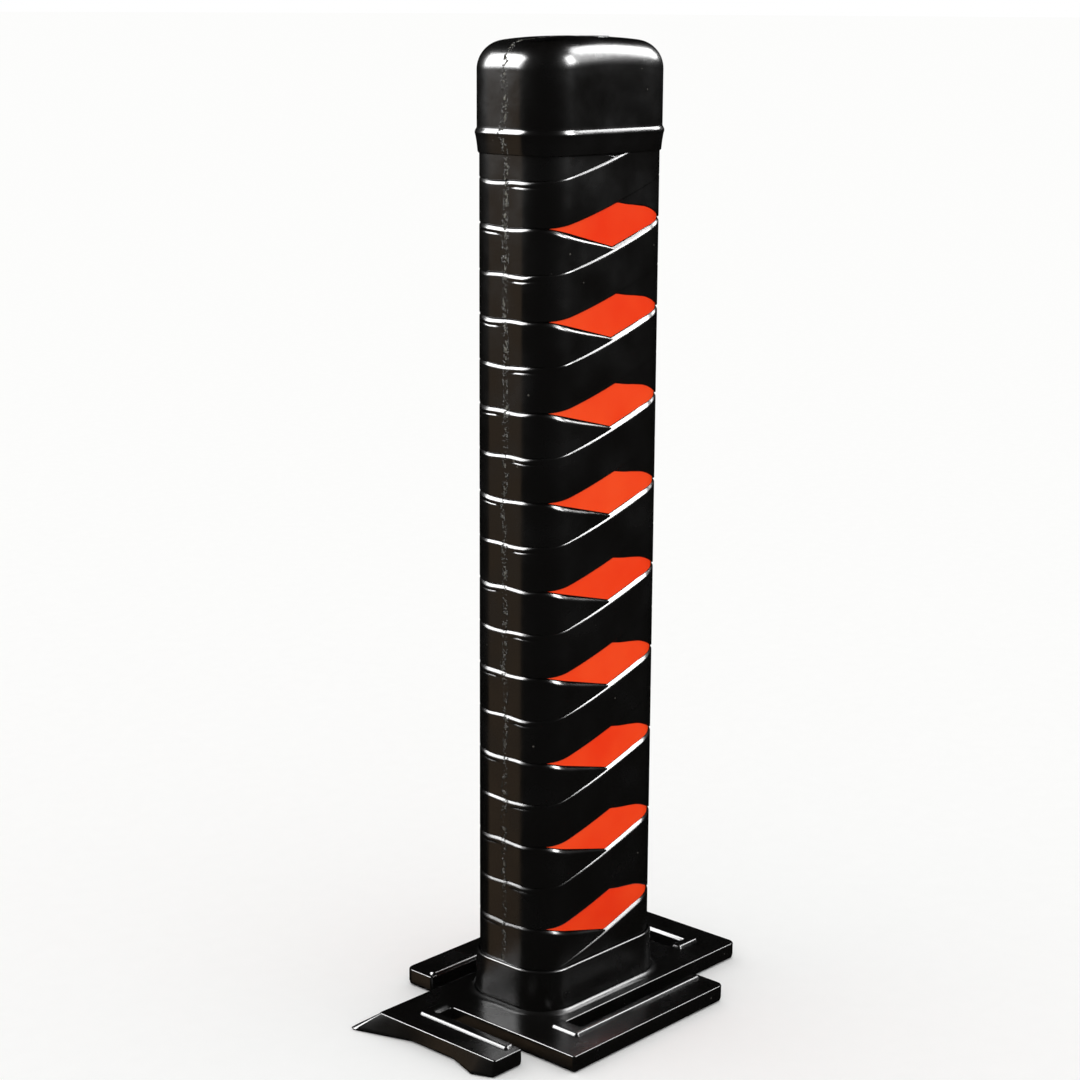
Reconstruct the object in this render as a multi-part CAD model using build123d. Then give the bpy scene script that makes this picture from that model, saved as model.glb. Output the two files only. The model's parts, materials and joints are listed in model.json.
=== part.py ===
from build123d import *
import math
import os

# Retractable bollard, in millimetres, +Z up.
# The origin is on the post's axis at paving level. X runs along the post's wide face, and the
# pattern's front face looks along -Y. The post is drawn raised. It sinks straight down through a
# collar into a casing that is cast into the ground, carried by a gas strut.

os.makedirs("parts", exist_ok=True)

# ---- driving dimensions: the post ----
POST_X = 188.0          # wide face
POST_Y = 112.0          # narrow side
POST_R = 36.0           # corner radius
SHELL_WALL = 6.0
SEAM_GAP = 0.2          # between the two shells, on the narrow sides
FOOT_Z = -165.0         # lower end of the raised post
SHELL_TOP_Z = 938.0
CAP_TOP_Z = 1010.0
SKIRT_Z = 898.0         # lower edge of the cap's skirt
LIP_Z = 917.0           # the skirt's proud lip
LIP_H = 4.0
SKIRT_PROUD = 1.6       # how far each part of the cap stands out beyond the post
LIP_PROUD = 4.0
DOME_PROUD = 2.5
CAP_CROWN = 7.0         # rise of the roof from its edge to its middle
CAP_EDGE_R = 22.0
CAP_ROOF_T = 10.0
CAP_INNER_R = 14.0
GASKET_T = 2.0

# ---- driving dimensions: the wrap pattern ----
PITCH = 90.0            # one diamond every pitch
FIRST_TIP_Z = 109.0     # height of the lowest diamond's side tips
DIAMONDS = 9
TIP_X = 81.0            # sharp left tip, measured along X from the middle of the wide face
DIAMOND_BOTTOM = (2.0, -22.0)   # the other corners, measured from the middle and the tips' height
DIAMOND_NOSE = (85.0, 4.0)
DIAMOND_SHOULDER = (57.0, 14.0)
DIAMOND_TOP = (9.0, 21.0)
NOSE_R = 5.0
SHOULDER_R = 14.0
TOP_R = 5.0
POCKET_DEPTH = 2.8
REFLECTOR_T = 1.2
GROOVE_W = 2.4
GROOVE_D = 1.5

# ---- driving dimensions: the plate and the ground unit ----
PLATE_T = 18.0
BODY_X = 279.0          # the plate's middle
BODY_Y = 157.0
ARM_W = 40.0
SLOT_W = 21.5
LONG_ARM_END_X = 102.0  # free end of the front arm
LONG_SLOT_END_X = -85.0 # closed end of the slot behind it
SHORT_ARM_END_Y = -89.0 # free end of the left arm
SHORT_SLOT_END_Y = 32.0
LONG_RIM_W = 9.5        # raised rim along the arms' side of each slot
SHORT_RIM_W = 12.0
RIM_INSET = 1.6         # from the slot's edge to the rim
RIM_END = 8.0           # from the arm's free end to the rim
RIM_CROSS_W = 16.0      # rim round a slot's closed end
RIM_H = 3.0
FLARE = 20.0            # how far the left arm's foot spreads at its back corner
FLARE_FRONT = 12.0
FLARE_WAIST = 30.0      # either side of the middle the foot doesn't spread
PLATE_EDGE = 1.5
BOSS_REACH = 13.0       # foot of the sloping boss round the collar, measured from the post
BOSS_LIP = 1.2
BOSS_H = 7.0
COLLAR_TOP_Z = 64.0
COLLAR_WALL = 3.0
FLANGE_X = 270.0
FLANGE_Y = 152.0
FLANGE_T = 10.0
FLANGE_R = 20.0
COLLAR_FLANGE_T = 4.0
SEAL_T = 6.0
SEAL_DROP = 8.0         # from the collar's top down to its seal
SEAL_BITE = 1.5         # depth of the seal's groove
CASING_GAP = 12.0       # free space all round the post inside the casing
CASING_WALL = 5.0
CASING_R = 40.0
CASING_FLOOR_Z = -1040.0
CASING_FLOOR_T = 8.0
FLANGE_BOLT_X = 122.0
FLANGE_BOLT_Y = 50.0
FLANGE_BOLT_R = 4.0
FLANGE_BOLT_TOP = 12.0  # how far the bolts reach up into the plate
FLANGE_HEAD_R = 7.5
FLANGE_HEAD_T = 5.5
GUIDE_FOOT_Z = -40.0
TOP_BUFFER_T = 6.0
TOP_BUFFER_X = 55.0
FOOT_BUFFER_R = 14.0
FOOT_BUFFER_AT = (62.0, 34.0)
PAD_H = 50.0
PAD_FACE = (24.0, 52.0) # along the wide faces
PAD_EDGE = (4.0, 18.0)  # along the narrow sides
DRAIN_X = -40.0
DRAIN_R = 16.0
DRAIN_BORE_R = 12.5
DRAIN_REACH = 40.0
DRAIN_FLANGE_R = 24.0
DRAIN_FLANGE_T = 4.0

# ---- named clearances ----
RUN = 0.3               # parts that slide or turn past each other
CAP_FIT = 0.3           # cap skirt over the shells
POCKET_FIT = 0.25       # reflector in its pocket
WIPER_FIT = 0.5         # seal and guide round the post
COLLAR_FIT = 2.0
PLUG_FIT = 0.08         # lock plug in its barrel
LID_GAP = 3.0           # cap above the collar when the post is down

# ---- driving dimensions: latch, lock and strut ----
LOCK_Y = -14.0
LATCH_Z = -125.0
LATCH_STROKE = 8.0
BOLT_W = 14.0
BOLT_H = 16.0
BOLT_REACH = 8.0        # how far a bolt stands out of the narrow side
FOLLOWER_X = 15.0
FOLLOWER_R = 2.0
CAM_R = 20.0
CAM_T = 8.0
CAM_SLOT_DEPTH = 5.0
CAM_TURN = 90.0         # degrees
CAM_OVERRUN = 3.0       # degrees the slot goes on past each end of the stroke
CAM_LIFT = 1.0          # disc above the bolts
BOLT_INNER_X = 10.0
BOLT_NOSE = 5.0
BOLT_BORE_R = 4.6
BOLT_BORE_END_X = 34.0
SPRING_LENGTH = 66.0
SPRING_R = 3.6
SPRING_WIRE_R = 0.5
SPRING_PITCH = 6.0
HOUSING_HALF_Y = 22.0
HOUSING_FLOOR = 4.0
LID_HALF_X = 35.0
LID_T = 4.0
KEEPER_HALF_Y = 11.0
KEEPER_BELOW = 28.0
KEEPER_ABOVE = 20.0
KEEPER_GAP = 1.0        # keeper clear of the passing post
ROD_R = 5.0
BARREL_R = 7.5
BARREL_HEAD_R = 9.0
BARREL_HEAD_T = 2.0
PLUG_DROP = 2.2         # plug's face below the cap's top
PLUG_LENGTH = 43.8
KEYWAY = (3.0, 0.8, 20.0)
NUT_R = 12.0
NUT_T = 6.0
BRIDGE_X = 50.0
BRIDGE_HALF_Y = 14.0
BRIDGE_T = 4.0
BRIDGE_FOOT = 16.0
SHUTTER_X = 11.0        # axis of the keyhole shutter
SHUTTER_R = 19.0
SHUTTER_T = 2.0
SHUTTER_HOLE_R = 6.0
SHUTTER_SINK = 0.1      # disc below the cap's top
NOTCH_R = 1.5
NOTCH_OUT = 14.0
STRUT_Y = 23.0
STRUT_R = 14.0
STRUT_BORE_R = 12.5
STRUT_ROD_R = 8.0
STRUT_FOOT_Z = -1005.0
STRUT_TOP_Z = -135.0
STRUT_EYE_Z = 740.0
STRUT_WALL = 3.0
STRUT_GLAND = 10.0
STRUT_EYE_DROP = 12.0   # lower pin below the cylinder's foot
STRUT_EYE_R = 10.0
STRUT_EYE_HALF = 6.0
STRUT_TAB = 8.0
LOWER_PIN_R = 4.0
LOWER_PIN_OVER = 14.0
CLEVIS_HALF = 12.0
CLEVIS_DEPTH = 17.0
PISTON_T = 10.0
PISTON_DROP = 26.0
PISTON_FIT = 0.1
UPPER_EYE_R = 12.0
UPPER_EYE_DROP = 18.0
UPPER_PIN_R = 5.0
UPPER_PIN_OVER = 2.0
ROD_BITE = 12.0         # rod's end inside the eye
BRACKET_X = 24.0
BRACKET_HALF_Z = 25.0
BRACKET_Y = 4.0
BRACKET_T = 4.0
CORE_X = 148.0
CORE_Y = 84.0
CORE_R = 8.0
CORE_INNER_R = 1.5
CORE_WALL = 4.0
SCREW_X = 40.0
SCREW_R = 2.0
SCREW_LENGTH = 16.0
SCREW_HEAD_R = 3.6
SCREW_HEAD_T = 2.2
HEAD_Z = 925.0          # top of the core tube
HEAD_T = 8.0

TRAVEL = SKIRT_Z - COLLAR_TOP_Z - LID_GAP


# ---- helpers ----
def block(x0, x1, y0, y1, z0, z1):
    """Box between two corners."""
    size = Box(x1 - x0, y1 - y0, z1 - z0)
    return Pos((x0 + x1) / 2, (y0 + y1) / 2, (z0 + z1) / 2) * size


def rod_z(radius, z0, z1, x=0.0, y=0.0):
    """Upright round bar."""
    return Pos(x, y, (z0 + z1) / 2) * Cylinder(radius, z1 - z0)


def rod_y(radius, y0, y1, x=0.0, z=0.0):
    """Round bar along Y."""
    return Pos(x, (y0 + y1) / 2, z) * Rot(90, 0, 0) * Cylinder(radius, y1 - y0)


def rod_x(radius, x0, x1, y=0.0, z=0.0):
    """Round bar along X."""
    return Pos((x0 + x1) / 2, y, z) * Rot(0, 90, 0) * Cylinder(radius, x1 - x0)


def rounded_prism(size_x, size_y, corner, z0, z1):
    """Upright prism with a rounded-rectangle section."""
    section = RectangleRounded(size_x, size_y, corner)
    return Pos(0, 0, z0) * extrude(section, z1 - z0)


def post_section(grow):
    """The post's own section, grown by an even amount all round."""
    return RectangleRounded(POST_X + 2 * grow, POST_Y + 2 * grow, POST_R + grow)


def post_prism(grow, z0, z1):
    """Upright prism on the post's section, grown by an even amount all round."""
    return Pos(0, 0, z0) * extrude(post_section(grow), z1 - z0)


def casing_prism(grow, z0, z1):
    """The casing's inner section, grown by an even amount all round."""
    size_x = POST_X + 2 * (CASING_GAP + grow)
    size_y = POST_Y + 2 * (CASING_GAP + grow)
    return rounded_prism(size_x, size_y, CASING_R + grow, z0, z1)


def half_turn(shape):
    """The same shape turned half a turn about the post's axis."""
    return shape.rotate(Axis.Z, 180)


def four_corners(x, y):
    return [(sx * x, sy * y) for sx in (-1, 1) for sy in (-1, 1)]


def save(name, *solids):
    """Write one node; a group of identical pieces stays a group of solids."""
    flat = [piece for shape in solids for piece in shape.solids()]
    shape = flat[0] if len(flat) == 1 else Compound(children=flat)
    shape.label = name
    export_step(shape, f"parts/{name}.step")


# ---- the wrap pattern ----
def diamond_cutter(level, shrink):
    """Prism along Y through the front face, shaped as one diamond of the pattern."""
    tip_z = FIRST_TIP_Z + PITCH * level
    corners = [
        (-TIP_X + 3 * shrink, tip_z),
        (DIAMOND_BOTTOM[0], tip_z + DIAMOND_BOTTOM[1] + shrink),
        (DIAMOND_NOSE[0] - 2 * shrink, tip_z + DIAMOND_NOSE[1]),
        (DIAMOND_SHOULDER[0], tip_z + DIAMOND_SHOULDER[1] - shrink),
        (DIAMOND_TOP[0], tip_z + DIAMOND_TOP[1] - shrink),
    ]
    outline = make_face(Polyline(*corners, close=True))
    for (x, z), radius in zip(corners[2:], (NOSE_R, SHOULDER_R, TOP_R)):
        corner = outline.vertices().sort_by_distance((x, z, 0))[0]
        outline = fillet(corner, radius)
    return extrude(Plane.XZ * outline, POST_Y)


def groove_bars():
    """Bars that cut the wrap's edges: level on the narrow sides, rising across the wide faces."""
    bars = []
    half = PITCH / 2
    slope = math.degrees(math.atan2(half, 2 * TIP_X))
    length = 2 * TIP_X / math.cos(math.radians(slope))
    for level in range(2 * DIAMONDS + 1):
        z = FIRST_TIP_Z - half + half * level
        side = block(TIP_X, POST_X, -POST_Y, POST_Y, z - GROOVE_W / 2, z + GROOVE_W / 2)
        bars += [side, half_turn(side)]
        if level > 0:
            rising = Pos(0, -POST_Y / 2, z - half / 2) * Rot(0, -slope, 0)
            bar = rising * Box(length, POST_Y / 2, GROOVE_W)
            bars += [bar, half_turn(bar)]
    return bars


def diamonds(shrink):
    front = [diamond_cutter(level, shrink) for level in range(DIAMONDS)]
    return front, [half_turn(prism) for prism in front]


# ---- post ----
def post_shells():
    """Two moulded halves that meet along the middle of the narrow sides."""
    tube = post_prism(0, FOOT_Z, SHELL_TOP_Z) - post_prism(-SHELL_WALL, FOOT_Z, SHELL_TOP_Z)
    below_groove = post_prism(-GROOVE_D, FOOT_Z, SHELL_TOP_Z)
    below_pocket = post_prism(-POCKET_DEPTH, FOOT_Z, SHELL_TOP_Z)
    front_prisms, rear_prisms = diamonds(0)
    tube -= [bar - below_groove for bar in groove_bars()]
    tube -= [prism - below_pocket for prism in front_prisms + rear_prisms]
    tube -= shell_screw_bars()
    bolt_way_y = BOLT_W / 2 + RUN
    bolt_way_z = BOLT_H / 2 + RUN
    tube -= block(-POST_X, POST_X, LOCK_Y - bolt_way_y, LOCK_Y + bolt_way_y,
                  LATCH_Z - bolt_way_z, LATCH_Z + bolt_way_z)
    front = tube & block(-POST_X, POST_X, -POST_Y, -SEAM_GAP / 2, FOOT_Z, SHELL_TOP_Z)
    rear = tube & block(-POST_X, POST_X, SEAM_GAP / 2, POST_Y, FOOT_Z, SHELL_TOP_Z)
    save("front_shell", front)
    save("rear_shell", rear)


def reflectors():
    """Curved red sheets, one seated on the floor of each pocket."""
    floor = post_prism(-POCKET_DEPTH, FOOT_Z, SHELL_TOP_Z)
    sheet = post_prism(REFLECTOR_T - POCKET_DEPTH, FOOT_Z, SHELL_TOP_Z) - floor
    for face, prisms in zip(("front", "rear"), diamonds(POCKET_FIT)):
        for level, prism in enumerate(prisms):
            save(f"reflector_{face}_{level + 1}", sheet & prism)


def shell_screw_bars():
    """Screws through both wide faces into the edges of the head plate and the foot plate."""
    bars = []
    for z in (HEAD_Z + HEAD_T / 2, FOOT_Z + HEAD_T / 2):
        for x in (-SCREW_X, SCREW_X):
            shank = rod_y(SCREW_R, -POST_Y / 2, -POST_Y / 2 + SCREW_LENGTH, x, z)
            head = rod_y(SCREW_HEAD_R, -POST_Y / 2, -POST_Y / 2 + SCREW_HEAD_T, x, z)
            screw = shank + head
            bars += [screw, half_turn(screw)]
    return bars


def end_plates():
    """Steel plates that close the core tube and hold the shells."""
    head = post_prism(-SHELL_WALL, HEAD_Z, HEAD_Z + HEAD_T)
    head -= rod_z(ROD_R + RUN, HEAD_Z, HEAD_Z + HEAD_T, 0, LOCK_Y)
    head -= shell_screw_bars()
    foot = post_prism(-SHELL_WALL, FOOT_Z, FOOT_Z + HEAD_T)
    foot -= rod_z(STRUT_R + COLLAR_FIT, FOOT_Z, FOOT_Z + HEAD_T, 0, STRUT_Y)
    foot -= shell_screw_bars()
    save("head_plate", head)
    save("foot_plate", foot)
    save("shell_screws", *shell_screw_bars())


def core_tube():
    """Rectangular steel tube that carries the load inside the shells."""
    bottom = FOOT_Z + HEAD_T
    core = rounded_prism(CORE_X, CORE_Y, CORE_R, bottom, HEAD_Z)
    bore_x, bore_y = CORE_X - 2 * CORE_WALL, CORE_Y - 2 * CORE_WALL
    core -= rounded_prism(bore_x, bore_y, CORE_INNER_R, bottom, HEAD_Z)
    way_y = BOLT_W / 2 + RUN
    way_z = BOLT_H / 2 + RUN
    core -= block(-CORE_X, CORE_X, LOCK_Y - way_y, LOCK_Y + way_y, LATCH_Z - way_z, LATCH_Z + way_z)
    core -= rod_y(UPPER_PIN_R, 0, CORE_Y, 0, STRUT_EYE_Z)
    save("core_tube", core)


def crowned(grow, low, top):
    """Solid on the post's section with a gently crowned top and a well rounded edge."""
    half = POST_X / 2 + grow
    crown_r = (half ** 2 + CAP_CROWN ** 2) / (2 * CAP_CROWN)
    body = post_prism(grow, low, top)
    body = fillet(body.faces().sort_by(Axis.Z)[-1].edges(), CAP_EDGE_R)
    return body & Pos(0, 0, top - crown_r) * Sphere(crown_r)


def cap():
    """Domed cap with a proud lip and a skirt that narrows down to the shells."""
    skirt = loft([
        Pos(0, 0, SKIRT_Z) * post_section(SKIRT_PROUD),
        Pos(0, 0, LIP_Z) * post_section(LIP_PROUD),
    ])
    lip = post_prism(LIP_PROUD, LIP_Z, LIP_Z + LIP_H)
    dome = crowned(DOME_PROUD, LIP_Z + LIP_H, CAP_TOP_Z)
    ceiling = CAP_TOP_Z - CAP_ROOF_T
    hollow = post_prism(-SHELL_WALL, SHELL_TOP_Z + GASKET_T, ceiling - CAP_CROWN)
    hollow = fillet(hollow.faces().sort_by(Axis.Z)[-1].edges(), CAP_INNER_R)
    pocket_x = BRIDGE_X + RUN
    pocket_y = BRIDGE_HALF_Y + RUN
    hollow += block(-pocket_x, pocket_x, LOCK_Y - pocket_y, LOCK_Y + pocket_y,
                    SHELL_TOP_Z + GASKET_T, ceiling)
    body = skirt + lip + dome - hollow
    body -= post_prism(CAP_FIT, SKIRT_Z, SHELL_TOP_Z + GASKET_T)
    shutter_floor = CAP_TOP_Z - SHUTTER_T - SHUTTER_SINK
    body -= rod_z(SHUTTER_R + RUN, shutter_floor, CAP_TOP_Z, SHUTTER_X, LOCK_Y)
    body -= rod_z(BARREL_HEAD_R, shutter_floor - BARREL_HEAD_T, shutter_floor, 0, LOCK_Y)
    body -= rod_z(BARREL_R, ceiling, shutter_floor, 0, LOCK_Y)
    save("cap", body)
    gasket = post_prism(0, SHELL_TOP_Z, SHELL_TOP_Z + GASKET_T)
    gasket -= post_prism(-SHELL_WALL, SHELL_TOP_Z, SHELL_TOP_Z + GASKET_T)
    save("cap_gasket", gasket)


def cap_bridge():
    """Bent steel strap from the head plate up to the cap's roof; the lock barrel clamps it."""
    low = HEAD_Z + HEAD_T
    top = CAP_TOP_Z - CAP_ROOF_T
    y0, y1 = LOCK_Y - BRIDGE_HALF_Y, LOCK_Y + BRIDGE_HALF_Y
    inner_x = BRIDGE_X - BRIDGE_T
    gap_x = BRIDGE_X - BRIDGE_FOOT
    strap = block(-BRIDGE_X, BRIDGE_X, y0, y1, low, top)
    strap -= block(-inner_x, inner_x, y0, y1, low + BRIDGE_T, top - BRIDGE_T)
    strap -= block(-gap_x, gap_x, y0, y1, low, low + BRIDGE_T)
    strap -= rod_z(BARREL_R, low, top, 0, LOCK_Y)
    save("cap_bridge", strap)


# ---- lock ----
def lock():
    """Key-turned plug in a barrel, with a long rod down to the latch cam."""
    plug_top = CAP_TOP_Z - PLUG_DROP
    plug_foot = plug_top - PLUG_LENGTH
    head_top = CAP_TOP_Z - SHUTTER_T - SHUTTER_SINK
    head_low = head_top - BARREL_HEAD_T
    barrel = rod_z(BARREL_HEAD_R, head_low, head_top, 0, LOCK_Y)
    barrel += rod_z(BARREL_R, plug_foot, head_low, 0, LOCK_Y)
    barrel -= rod_z(ROD_R + PLUG_FIT, plug_foot, head_top, 0, LOCK_Y)
    save("lock_barrel", barrel)
    nut_top = CAP_TOP_Z - CAP_ROOF_T - BRIDGE_T
    nut = Pos(0, LOCK_Y, nut_top - NUT_T) * extrude(RegularPolygon(NUT_R, 6), NUT_T)
    save("barrel_nut", nut - rod_z(BARREL_R, nut_top - NUT_T, nut_top, 0, LOCK_Y))
    key_x, key_y, key_depth = KEYWAY
    plug = rod_z(ROD_R, plug_foot, plug_top, 0, LOCK_Y)
    plug -= block(-key_x, key_x, LOCK_Y - key_y, LOCK_Y + key_y, plug_top - key_depth, plug_top)
    save("lock_plug", plug)
    save("lock_rod", rod_z(ROD_R, cam_low_z() + CAM_T, plug_foot, 0, LOCK_Y))


def keyhole_shutter():
    """Flush disc whose off-centre hole is turned over the keyway to let the key in."""
    low = CAP_TOP_Z - SHUTTER_T
    top = CAP_TOP_Z - SHUTTER_SINK
    disc = rod_z(SHUTTER_R, low, top, SHUTTER_X, LOCK_Y)
    disc -= rod_z(SHUTTER_HOLE_R, low, CAP_TOP_Z, SHUTTER_X, LOCK_Y + SHUTTER_X)
    notch = rod_z(NOTCH_R, low + SHUTTER_T / 2, CAP_TOP_Z, SHUTTER_X + NOTCH_OUT, LOCK_Y)
    save("keyhole_shutter", disc - notch)


# ---- latch ----
def cam_low_z():
    """Underside of the cam disc, just above the bolts."""
    return LATCH_Z + BOLT_H / 2 + CAM_LIFT


def cam_slot(start_angle):
    """Slot that draws a follower inwards evenly as the cam turns, with round ends."""
    steps = 24
    half = FOLLOWER_R + RUN
    outer, inner, middle = [], [], []
    for step in range(steps + 1):
        turn = -CAM_OVERRUN + (CAM_TURN + 2 * CAM_OVERRUN) * step / steps
        radius = FOLLOWER_X - LATCH_STROKE * turn / CAM_TURN
        angle = math.radians(start_angle - turn)
        slant = math.hypot(1, LATCH_STROKE / math.radians(CAM_TURN) / radius)
        reach = half * slant
        outer.append(((radius + reach) * math.cos(angle), (radius + reach) * math.sin(angle)))
        inner.append(((radius - reach) * math.cos(angle), (radius - reach) * math.sin(angle)))
        middle.append((radius * math.cos(angle), radius * math.sin(angle)))
    edges = [Spline(*outer), Spline(*inner)]
    edges += [Line(outer[0], inner[0]), Line(outer[-1], inner[-1])]
    track = extrude(make_face(edges), CAM_SLOT_DEPTH)
    ends = [rod_z(half, 0, CAM_SLOT_DEPTH, x, y) for x, y in (middle[0], middle[-1])]
    return [track] + ends


def cam_disc():
    low = cam_low_z()
    disc = rod_z(CAM_R, low, low + CAM_T, 0, LOCK_Y)
    for start_angle in (0, 180):
        disc -= [Pos(0, LOCK_Y, low) * piece for piece in cam_slot(start_angle)]
    save("cam_disc", disc)


def latch_bolts():
    """Two bolts that stand out of the narrow sides and are drawn in by the cam."""
    top = LATCH_Z + BOLT_H / 2
    tip = POST_X / 2 + BOLT_REACH
    y0, y1 = LOCK_Y - BOLT_W / 2, LOCK_Y + BOLT_W / 2
    bar = block(BOLT_INNER_X, tip, y0, y1, LATCH_Z - BOLT_H / 2, top)
    nose = bar.edges().filter_by(Axis.Y).group_by(Axis.X)[-1].sort_by(Axis.Z)[-1]
    bar = chamfer(nose, BOLT_NOSE)
    bar -= rod_x(BOLT_BORE_R, BOLT_INNER_X, BOLT_BORE_END_X, LOCK_Y, LATCH_Z)
    pin_top = cam_low_z() + CAM_SLOT_DEPTH - RUN
    bar += rod_z(FOLLOWER_R, top - CAM_LIFT, pin_top, FOLLOWER_X, LOCK_Y)
    save("latch_bolt_right", bar)
    save("latch_bolt_left", Pos(0, 2 * LOCK_Y, 0) * half_turn(bar))


def latch_spring():
    """Coil spring between the two bolts, lying in their bores."""
    coil = Helix(pitch=SPRING_PITCH, height=SPRING_LENGTH, radius=SPRING_R)
    wire = sweep(Plane(coil @ 0, z_dir=coil % 0) * Circle(SPRING_WIRE_R), path=coil)
    save("latch_spring", Pos(-SPRING_LENGTH / 2, LOCK_Y, LATCH_Z) * Rot(0, 90, 0) * wire)


def latch_housing():
    """Box inside the core tube that guides the bolts and holds the cam."""
    y0, y1 = LOCK_Y - HOUSING_HALF_Y, LOCK_Y + HOUSING_HALF_Y
    way_low = LATCH_Z - BOLT_H / 2 - RUN
    cam_low = LATCH_Z + BOLT_H / 2 + RUN
    top = cam_low_z() + CAM_T + RUN
    inner_x = CORE_X / 2 - CORE_WALL
    box = block(-inner_x, inner_x, y0, y1, LATCH_Z - BOLT_H / 2 - HOUSING_FLOOR, top)
    way_y = BOLT_W / 2 + RUN
    box -= block(-inner_x, inner_x, LOCK_Y - way_y, LOCK_Y + way_y, way_low, cam_low)
    box -= rod_z(CAM_R + RUN, cam_low, top, 0, LOCK_Y)
    save("latch_housing", box)
    lid = block(-LID_HALF_X, LID_HALF_X, y0, y1, top, top + LID_T)
    save("latch_lid", lid - rod_z(ROD_R + RUN, top, top + LID_T, 0, LOCK_Y))


def keeper(z):
    """Pocketed block on the casing's narrow side, where a bolt rests."""
    inner = POST_X / 2 + KEEPER_GAP
    outer = POST_X / 2 + CASING_GAP
    y0, y1 = LOCK_Y - KEEPER_HALF_Y, LOCK_Y + KEEPER_HALF_Y
    piece = block(inner, outer, y0, y1, z - KEEPER_BELOW, z + KEEPER_ABOVE)
    way_y = BOLT_W / 2 + KEEPER_GAP
    floor_x = POST_X / 2 + BOLT_REACH + KEEPER_GAP
    piece -= block(inner, floor_x, LOCK_Y - way_y, LOCK_Y + way_y,
                   z - BOLT_H / 2 - RUN, z + BOLT_H / 2 + 2 * KEEPER_GAP)
    return [piece, piece.mirror(Plane.YZ)]


def latch_keepers():
    save("latch_keepers_raised", *keeper(LATCH_Z))
    save("latch_keepers_lowered", *keeper(LATCH_Z - TRAVEL))


def slider_pads():
    """Plastic pads on the foot of the post that run on the casing's walls."""
    top = GUIDE_FOOT_Z - TOP_BUFFER_T - RUN
    run = CASING_GAP - RUN
    face = block(*PAD_FACE, POST_Y / 2, POST_Y / 2 + run, top - PAD_H, top)
    edge = block(POST_X / 2, POST_X / 2 + run, *PAD_EDGE, top - PAD_H, top)
    faces = [face, face.mirror(Plane.YZ), face.mirror(Plane.XZ), half_turn(face)]
    save("slider_pads", *faces, edge, edge.mirror(Plane.YZ))


# ---- gas strut ----
def strut_body():
    """Cylinder that stands on the casing's floor in a clevis."""
    y0, y1 = STRUT_Y - STRUT_EYE_HALF, STRUT_Y + STRUT_EYE_HALF
    pin_z = STRUT_FOOT_Z - STRUT_EYE_DROP
    gland_z = STRUT_TOP_Z - STRUT_GLAND
    cylinder = rod_z(STRUT_R, STRUT_FOOT_Z, STRUT_TOP_Z, 0, STRUT_Y)
    cylinder -= rod_z(STRUT_BORE_R, STRUT_FOOT_Z + STRUT_WALL, gland_z, 0, STRUT_Y)
    cylinder -= rod_z(STRUT_ROD_R + PISTON_FIT, gland_z, STRUT_TOP_Z, 0, STRUT_Y)
    cylinder += block(-STRUT_TAB, STRUT_TAB, y0, y1, pin_z, STRUT_FOOT_Z)
    cylinder += rod_y(STRUT_EYE_R, y0, y1, 0, pin_z)
    cylinder -= rod_y(LOWER_PIN_R, y0, y1, 0, pin_z)
    save("strut_cylinder", cylinder)
    clevis_top = pin_z + STRUT_EYE_R
    half = CLEVIS_HALF
    clevis = block(-half, half, STRUT_Y - half, STRUT_Y + half, CASING_FLOOR_Z, clevis_top)
    clevis -= block(-half, half, y0 - RUN, y1 + RUN, pin_z - CLEVIS_DEPTH, clevis_top)
    clevis -= rod_y(LOWER_PIN_R, 0, CORE_Y, 0, pin_z)
    save("strut_clevis", clevis)
    pin = rod_y(LOWER_PIN_R, STRUT_Y - LOWER_PIN_OVER, STRUT_Y + LOWER_PIN_OVER, 0, pin_z)
    save("strut_pin_lower", pin)


def strut_rod():
    """Piston and rod, with an eye that lifts the core tube through a bracket and a pin."""
    piston_z = STRUT_TOP_Z - PISTON_DROP
    piston = rod_z(STRUT_BORE_R - PISTON_FIT, piston_z - PISTON_T, piston_z, 0, STRUT_Y)
    save("strut_piston", piston)
    rod_top = STRUT_EYE_Z - UPPER_EYE_DROP
    save("strut_rod", rod_z(STRUT_ROD_R, piston_z, rod_top, 0, STRUT_Y))
    eye = rod_z(STRUT_EYE_R, rod_top - ROD_BITE, STRUT_EYE_Z, 0, STRUT_Y)
    eye += rod_y(UPPER_EYE_R, STRUT_Y - STRUT_EYE_HALF, STRUT_Y + STRUT_EYE_HALF, 0, STRUT_EYE_Z)
    eye -= rod_z(STRUT_ROD_R, rod_top - ROD_BITE, rod_top, 0, STRUT_Y)
    eye -= rod_y(UPPER_PIN_R, STRUT_Y - UPPER_EYE_R, STRUT_Y + UPPER_EYE_R, 0, STRUT_EYE_Z)
    save("strut_eye", eye)
    back = CORE_Y / 2 - CORE_WALL
    low, top = STRUT_EYE_Z - BRACKET_HALF_Z, STRUT_EYE_Z + BRACKET_HALF_Z
    inner_x = BRACKET_X - BRACKET_T
    bracket = block(-BRACKET_X, BRACKET_X, BRACKET_Y, back, low, top)
    bracket -= block(-inner_x, inner_x, BRACKET_Y + BRACKET_T, back, low, top)
    save("strut_bracket", bracket - rod_y(UPPER_PIN_R, 0, CORE_Y, 0, STRUT_EYE_Z))
    pin = rod_y(UPPER_PIN_R, BRACKET_Y / 2, CORE_Y / 2 + UPPER_PIN_OVER, 0, STRUT_EYE_Z)
    save("strut_pin_upper", pin)


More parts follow.
